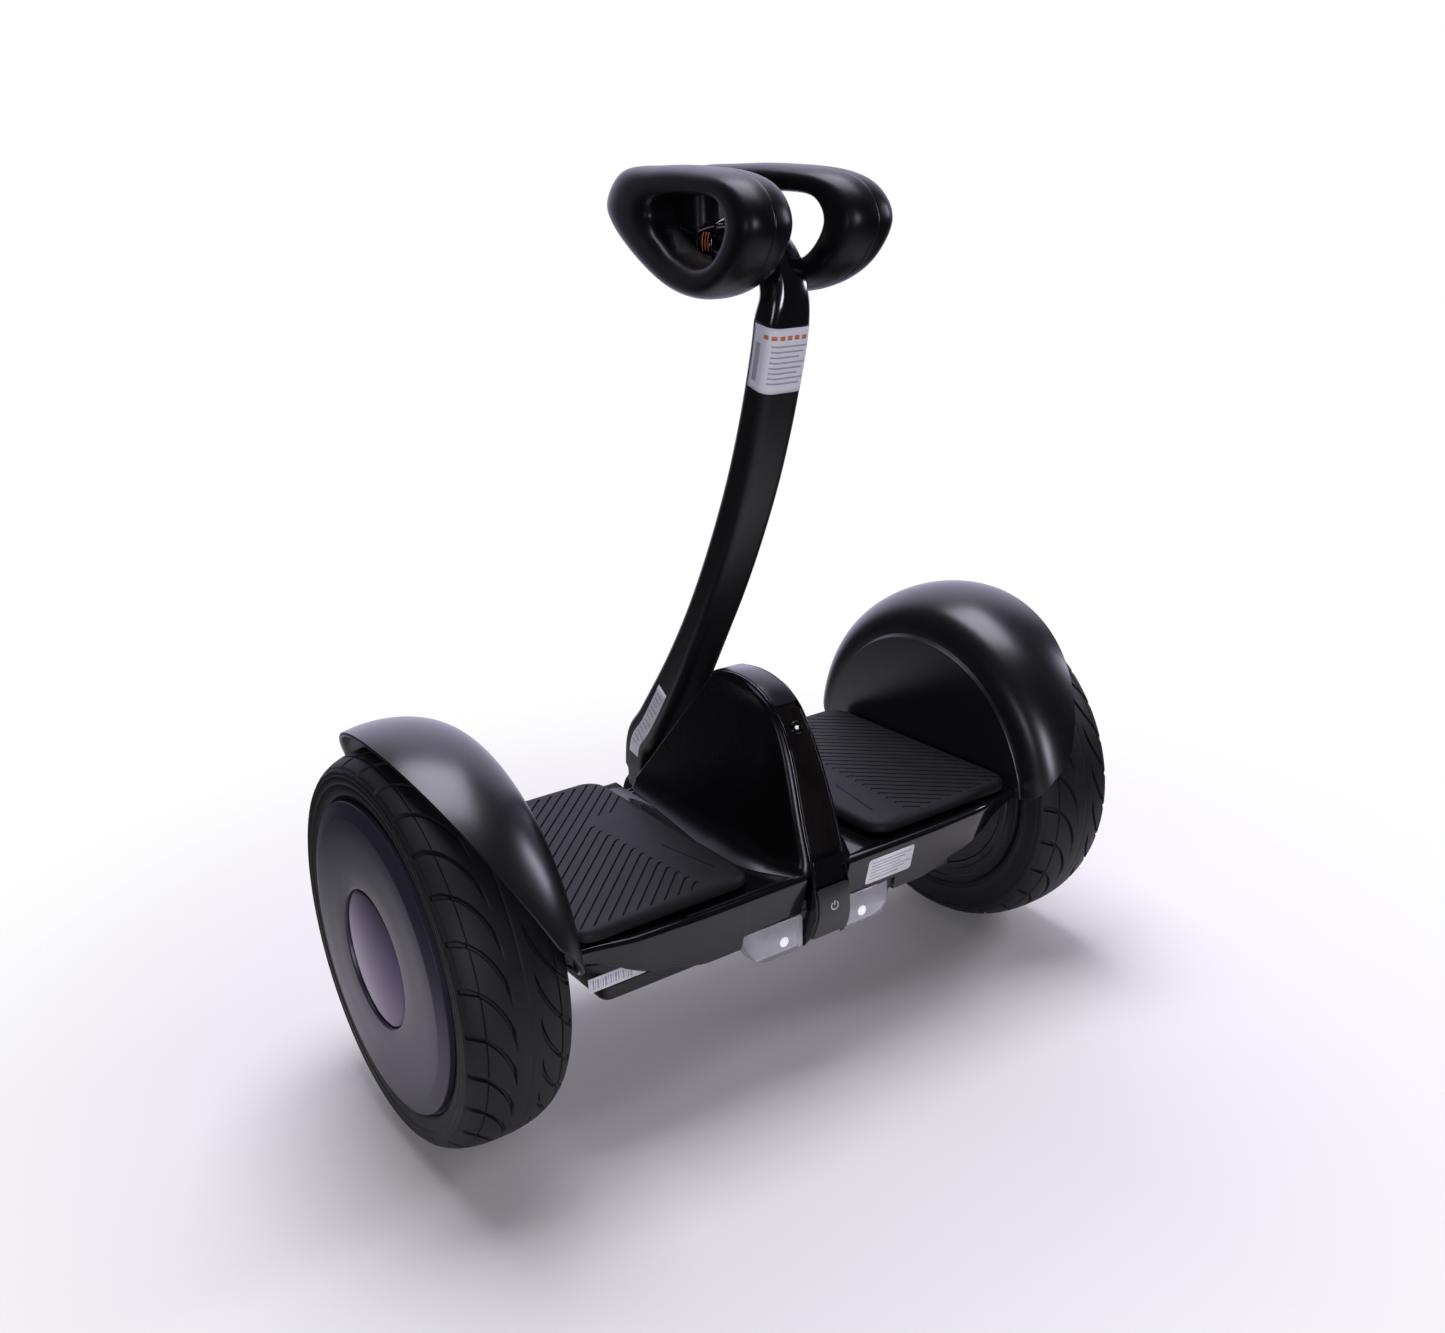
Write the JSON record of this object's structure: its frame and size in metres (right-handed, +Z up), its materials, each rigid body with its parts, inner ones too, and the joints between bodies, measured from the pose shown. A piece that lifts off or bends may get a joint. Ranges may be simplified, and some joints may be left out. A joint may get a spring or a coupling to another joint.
{
  "type": "self-balancing personal transporter",
  "caption": "Two-wheeled self-balancing transporter with fenders, ribbed foot mats and a curved steering post that carries a pair of looped knee pads.",
  "frame": {"origin": "on the ground under the middle of the wheel axle", "axes": "+X to the vehicle's right, +Y forward, +Z up"},
  "size_m": [0.55, 0.2674, 0.592],
  "materials": {
    "tyre": "moulded tread rubber, matt",
    "rim": "cast, painted black",
    "motor_cover": "painted black",
    "magnet": "nickel plated",
    "steel": "turned",
    "stator": "laminated core with lacquered windings",
    "hub_disc": "graphite, fine grain",
    "hub_cap": "high gloss dome",
    "valve": "turned",
    "satin_plastic": "satin black",
    "gloss_plastic": "piano black",
    "matte_plastic": "fine spark texture",
    "battery": "potted pack in a moulded case",
    "cast_metal": "cast, sand blasted",
    "bush": "sintered",
    "post": "painted satin black",
    "window": "dark clear window",
    "button": "olive grey, semi gloss",
    "lamp": "clear moulded lens",
    "board": "green circuit board",
    "mat": "ribbed foot mat, matt",
    "soft_rubber": "matt",
    "pad": "self-skinned foam"
  },
  "bodies": {
    "chassis": {"chassis_frame": "cast_metal", "deck_cover": "gloss_plastic", "lower_shell": "matte_plastic", "battery_pack": "battery", "hump_cover": "matte_plastic", "trim_band": "gloss_plastic", "band_inlay_top": "satin_plastic", "display_window": "window", "band_inlay_lower": "gloss_plastic", "indicator_lens": "lamp", "headlamp_lens": "lamp", "charge_port": "steel", "control_board": "board", "steering_housing": "cast_metal", "steering_bush": "bush", "centring_spring": "steel", "tail_lamp_left": "lamp", "tail_lamp_right": "lamp", "axle_left": "steel", "axle_right": "steel", "axle_clamp_left": "cast_metal", "axle_clamp_right": "cast_metal", "stator_left": "stator", "stator_right": "stator", "fender_left": "satin_plastic", "fender_right": "satin_plastic", "foot_sensor_left": "board", "foot_sensor_right": "board"},
    "left_wheel": {"tyre_left": "tyre", "rim_left": "rim", "motor_cover_inner_left": "motor_cover", "motor_cover_outer_left": "motor_cover", "rotor_magnets_left": "magnet", "bearing_inner_left": "steel", "bearing_outer_left": "steel", "hub_disc_left": "hub_disc", "hub_cap_left": "hub_cap", "tyre_valve_left": "valve"},
    "right_wheel": {"tyre_right": "tyre", "rim_right": "rim", "motor_cover_inner_right": "motor_cover", "motor_cover_outer_right": "motor_cover", "rotor_magnets_right": "magnet", "bearing_inner_right": "steel", "bearing_outer_right": "steel", "hub_disc_right": "hub_disc", "hub_cap_right": "hub_cap", "tyre_valve_right": "valve"},
    "steering_bar": {"steering_post": "post", "steering_foot": "post", "steering_shaft": "steel", "gooseneck": "gloss_plastic", "neck_collar": "gloss_plastic", "pad_spine": "matte_plastic", "knee_pad_left": "pad", "knee_pad_right": "pad"},
    "left_foot_mat": {"foot_mat_left": "mat"},
    "right_foot_mat": {"foot_mat_right": "mat"},
    "power_button": {"power_button": "button"},
    "charge_port_cap": {"charge_port_cap": "soft_rubber"}
  },
  "joints": [
    {"name": "left_wheel_spin", "type": "hinge", "parent": "chassis", "child": "left_wheel", "pos_m": [-0.2355, 0, 0.13], "axis": [1, 0, 0], "continuous": true},
    {"name": "right_wheel_spin", "type": "hinge", "parent": "chassis", "child": "right_wheel", "pos_m": [0.2355, 0, 0.13], "axis": [1, 0, 0], "continuous": true},
    {"name": "steering_lean", "type": "hinge", "parent": "chassis", "child": "steering_bar", "pos_m": [0, 0.104, 0.131], "axis": [0, 1, 0], "range_deg": [-15, 15], "stiffness_Nm_per_rad": 25},
    {"name": "left_mat_press", "type": "slide", "parent": "chassis", "child": "left_foot_mat", "axis": [0, 0, -1], "range_m": [0, 0.0015], "stiffness_N_per_m": 3000, "springref_m": -0.0015},
    {"name": "right_mat_press", "type": "slide", "parent": "chassis", "child": "right_foot_mat", "axis": [0, 0, -1], "range_m": [0, 0.0015], "stiffness_N_per_m": 3000, "springref_m": -0.0015},
    {"name": "power_button_press", "type": "slide", "parent": "chassis", "child": "power_button", "axis": [0, 1, 0], "range_m": [0, 0.0015], "stiffness_N_per_m": 300, "springref_m": -0.001},
    {"name": "charge_port_cap_swing", "type": "hinge", "parent": "chassis", "child": "charge_port_cap", "pos_m": [0.095, 0.10225, 0.138], "axis": [1, 0, 0], "range_deg": [0, 90]}
  ]
}
